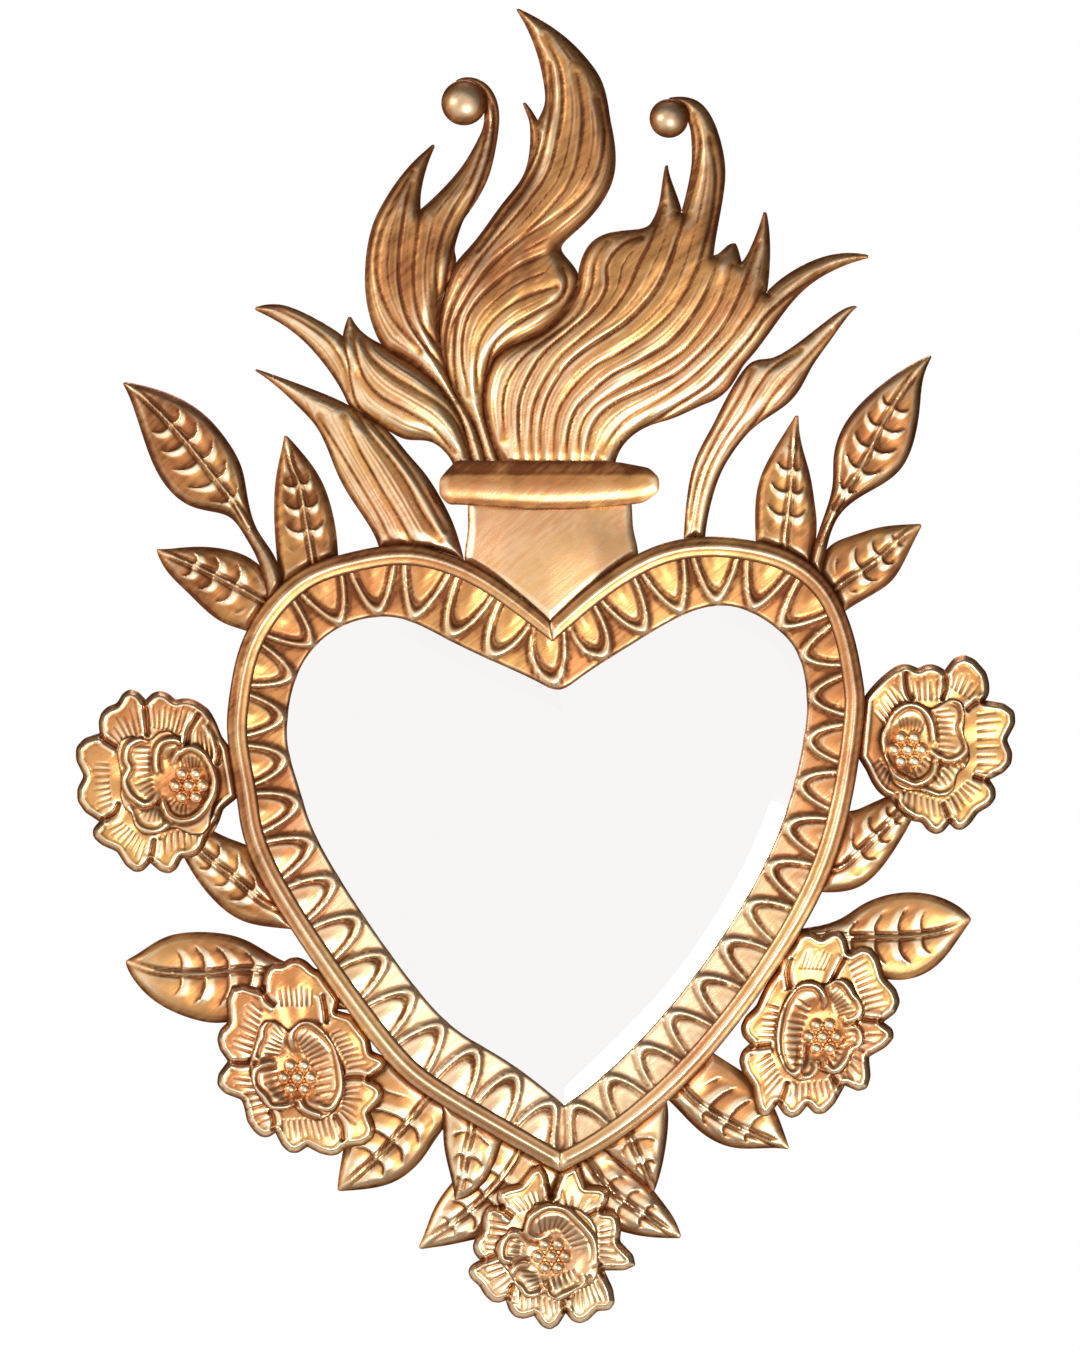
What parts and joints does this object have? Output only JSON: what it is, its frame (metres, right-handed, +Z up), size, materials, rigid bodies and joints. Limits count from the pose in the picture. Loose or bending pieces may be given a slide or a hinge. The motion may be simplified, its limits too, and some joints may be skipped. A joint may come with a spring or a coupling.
{
  "type": "wall mirror",
  "caption": "Heart-shaped wall mirror in an embossed antiqued-copper frame with a crest of flames, and flowers and leaves round it; hangs from a ring behind the crest.",
  "frame": {"origin": "the hanging point on the wall plane, inside the hanger's ring behind the neck", "axes": "+Z up, the front faces -Y, the wall is the plane Y = 0, +X to the viewer's right"},
  "size_m": [0.5985, 0.0221, 0.843],
  "materials": {
    "border_copper": "embossed copper, antiqued dark in the recesses and rubbed bright on the ridges",
    "rim_copper": "smooth antiqued copper",
    "crest_copper": "embossed copper, antiqued",
    "leaf_copper": "embossed copper, antiqued",
    "flower_copper": "embossed copper, antiqued",
    "plain_copper": "plain dull copper sheet",
    "rivet_copper": "hammered rivet heads",
    "mirror_glass": "silvered, bevelled edge",
    "board": "hardboard",
    "brace_steel": "flat bar",
    "hanger_steel": "zinc plated"
  },
  "bodies": {
    "mirror": {"back_plate": "plain_copper", "backing_board": "board", "crest_brace": "brace_steel", "flame_centre": "crest_copper", "flame_left": "crest_copper", "flame_right": "crest_copper", "flame_stem_left": "crest_copper", "flame_stem_right": "crest_copper", "flame_wisps_left": "crest_copper", "flower_bottom_inner_petals": "flower_copper", "flower_bottom_outer_petals": "flower_copper", "flower_bottom_stamens": "flower_copper", "flower_left_inner_petals": "flower_copper", "flower_left_outer_petals": "flower_copper", "flower_left_stamens": "flower_copper", "flower_low_left_inner_petals": "flower_copper", "flower_low_left_outer_petals": "flower_copper", "flower_low_left_stamens": "flower_copper", "flower_low_right_inner_petals": "flower_copper", "flower_low_right_outer_petals": "flower_copper", "flower_low_right_stamens": "flower_copper", "flower_right_inner_petals": "flower_copper", "flower_right_outer_petals": "flower_copper", "flower_right_stamens": "flower_copper", "hanger_rivets": "rivet_copper", "hanger_strap": "hanger_steel", "heart_border": "border_copper", "leaf_bottom_left_big": "leaf_copper", "leaf_bottom_left_small": "leaf_copper", "leaf_bottom_left_tip": "leaf_copper", "leaf_bottom_right_big": "leaf_copper", "leaf_bottom_right_small": "leaf_copper", "leaf_bottom_right_tip": "leaf_copper", "leaf_left_low": "leaf_copper", "leaf_left_middle": "leaf_copper", "leaf_left_side": "leaf_copper", "leaf_left_tall": "leaf_copper", "leaf_left_upright": "leaf_copper", "leaf_right_low": "leaf_copper", "leaf_right_middle": "leaf_copper", "leaf_right_side": "leaf_copper", "leaf_right_tall": "leaf_copper", "leaf_right_upright": "leaf_copper", "mirror_glass": "mirror_glass", "neck": "crest_copper", "neck_collar": "crest_copper", "rim_left": "rim_copper", "rim_right": "rim_copper", "scroll_boss_left": "crest_copper", "scroll_boss_right": "crest_copper"},
    "hanger_loop": {"hanger_ring": "hanger_steel"}
  },
  "joints": [
    {"name": "hanger_swing", "type": "hinge", "parent": "mirror", "child": "hanger_loop", "pos_m": [0, -0.0031, -0.004], "axis": [-1, 0, 0], "range_deg": [0, 160]}
  ]
}
